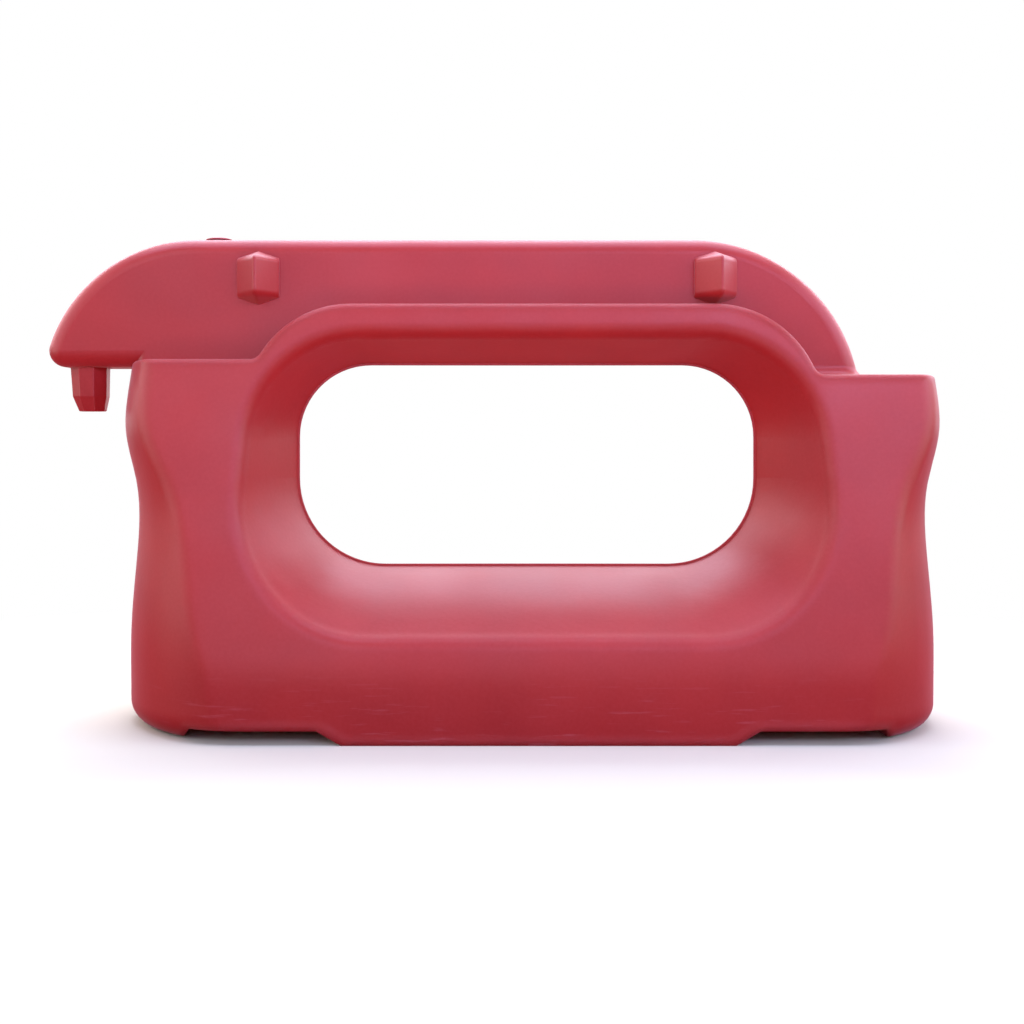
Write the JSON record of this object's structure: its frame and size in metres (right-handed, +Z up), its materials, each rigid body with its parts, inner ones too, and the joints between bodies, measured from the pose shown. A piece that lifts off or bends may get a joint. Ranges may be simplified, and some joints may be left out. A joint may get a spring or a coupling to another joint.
{
  "type": "road barrier",
  "caption": "Hollow moulded road barrier with a flared window, a top rail that ends in a coupling hook and peg, stacking lugs, and screw closures to fill and drain it.",
  "frame": {"origin": "on the floor under the middle of the window, at mid depth", "axes": "+X along the barrier from the hook to the shoulder with the socket, +Y to the back with the drain, +Z up"},
  "size_m": [1.4084, 0.4, 0.769],
  "materials": {
    "moulded_shell": "rotationally moulded polyethylene, satin, through-coloured red",
    "threaded_bush": "injection-moulded polyethylene, satin red",
    "screw_cap": "injection-moulded polyethylene, satin red",
    "gasket": "moulded black rubber, matte"
  },
  "bodies": {
    "shell": {"barrier_shell": "moulded_shell", "filler_bush": "threaded_bush", "drain_bush": "threaded_bush"},
    "filler_ring": {"filler_gasket": "gasket"},
    "filler_cap": {"filler_cap": "screw_cap"},
    "drain_ring": {"drain_gasket": "gasket"},
    "drain_plug": {"drain_plug": "screw_cap"}
  },
  "joints": [
    {"name": "filler_lift", "type": "slide", "parent": "shell", "child": "filler_ring", "axis": [0, 0, 1], "range_m": [0, 0.0201]},
    {"name": "filler_turn", "type": "hinge", "parent": "filler_ring", "child": "filler_cap", "pos_m": [-0.496, 0, 0.7585], "axis": [0, 0, 1], "range_deg": [0, 1440]},
    {"name": "drain_lift", "type": "slide", "parent": "shell", "child": "drain_ring", "axis": [0, 1, 0], "range_m": [0, 0.0201]},
    {"name": "drain_turn", "type": "hinge", "parent": "drain_ring", "child": "drain_plug", "pos_m": [0, 0.184, 0.05], "axis": [0, 1, 0], "range_deg": [0, 1440]}
  ],
  "couplings": [
    {"joint": "filler_lift", "follows": "filler_turn", "m_per_rad": 0.00079577},
    {"joint": "drain_lift", "follows": "drain_turn", "m_per_rad": 0.00079577}
  ]
}
